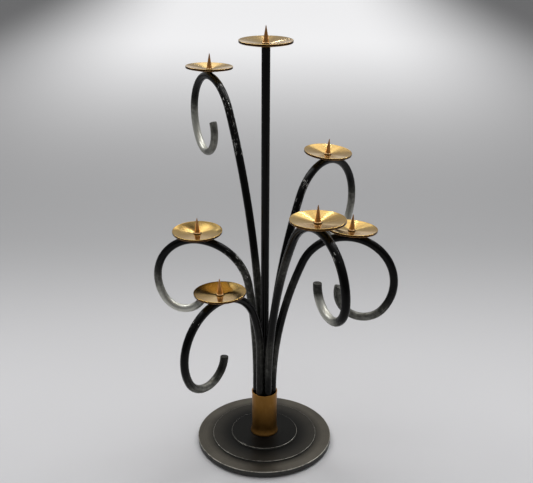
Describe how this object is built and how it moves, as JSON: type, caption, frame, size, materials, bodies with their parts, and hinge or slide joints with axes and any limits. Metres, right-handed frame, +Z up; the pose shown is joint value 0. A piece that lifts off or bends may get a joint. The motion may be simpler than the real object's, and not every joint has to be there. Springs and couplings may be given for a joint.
{
  "type": "pricket candelabrum",
  "caption": "Tall candelabrum with a stepped round base, a brass collar, curled black steel arms round a straight post, and brass drip pans with spikes for candles.",
  "frame": {"origin": "on the table, in the middle of the round base", "axes": "+Z up along the centre post, +X to the right and +Y to the back as seen in the picture"},
  "size_m": [0.3023, 0.3775, 0.5409],
  "materials": {
    "blackened_base": "turned, blackened and worn to grey on its outer ring",
    "blackened_steel": "blackened satin steel, brushed to grey round the loops",
    "aged_brass": "aged brass sleeve, browner towards the foot",
    "turned_brass": "turned brass with fine circular tool marks",
    "spike_brass": "turned brass, darkened",
    "zinc_steel": "zinc plated",
    "felt": "dark felt"
  },
  "bodies": {
    "root": {"base_plate": "blackened_base", "felt_pad": "felt", "centre_post": "blackened_steel", "post_washer": "zinc_steel", "post_nut": "zinc_steel", "collar": "aged_brass", "arm_right": "blackened_steel", "arm_rear_right": "blackened_steel", "arm_rear_left": "blackened_steel", "arm_left": "blackened_steel", "arm_front_left": "blackened_steel", "arm_front_right": "blackened_steel", "pan_top": "turned_brass", "pricket_top": "spike_brass", "pan_right": "turned_brass", "pricket_right": "spike_brass", "pan_rear_right": "turned_brass", "pricket_rear_right": "spike_brass", "pan_rear_left": "turned_brass", "pricket_rear_left": "spike_brass", "pan_left": "turned_brass", "pricket_left": "spike_brass", "pan_front_left": "turned_brass", "pricket_front_left": "spike_brass", "pan_front_right": "turned_brass", "pricket_front_right": "spike_brass"}
  },
  "joints": []
}
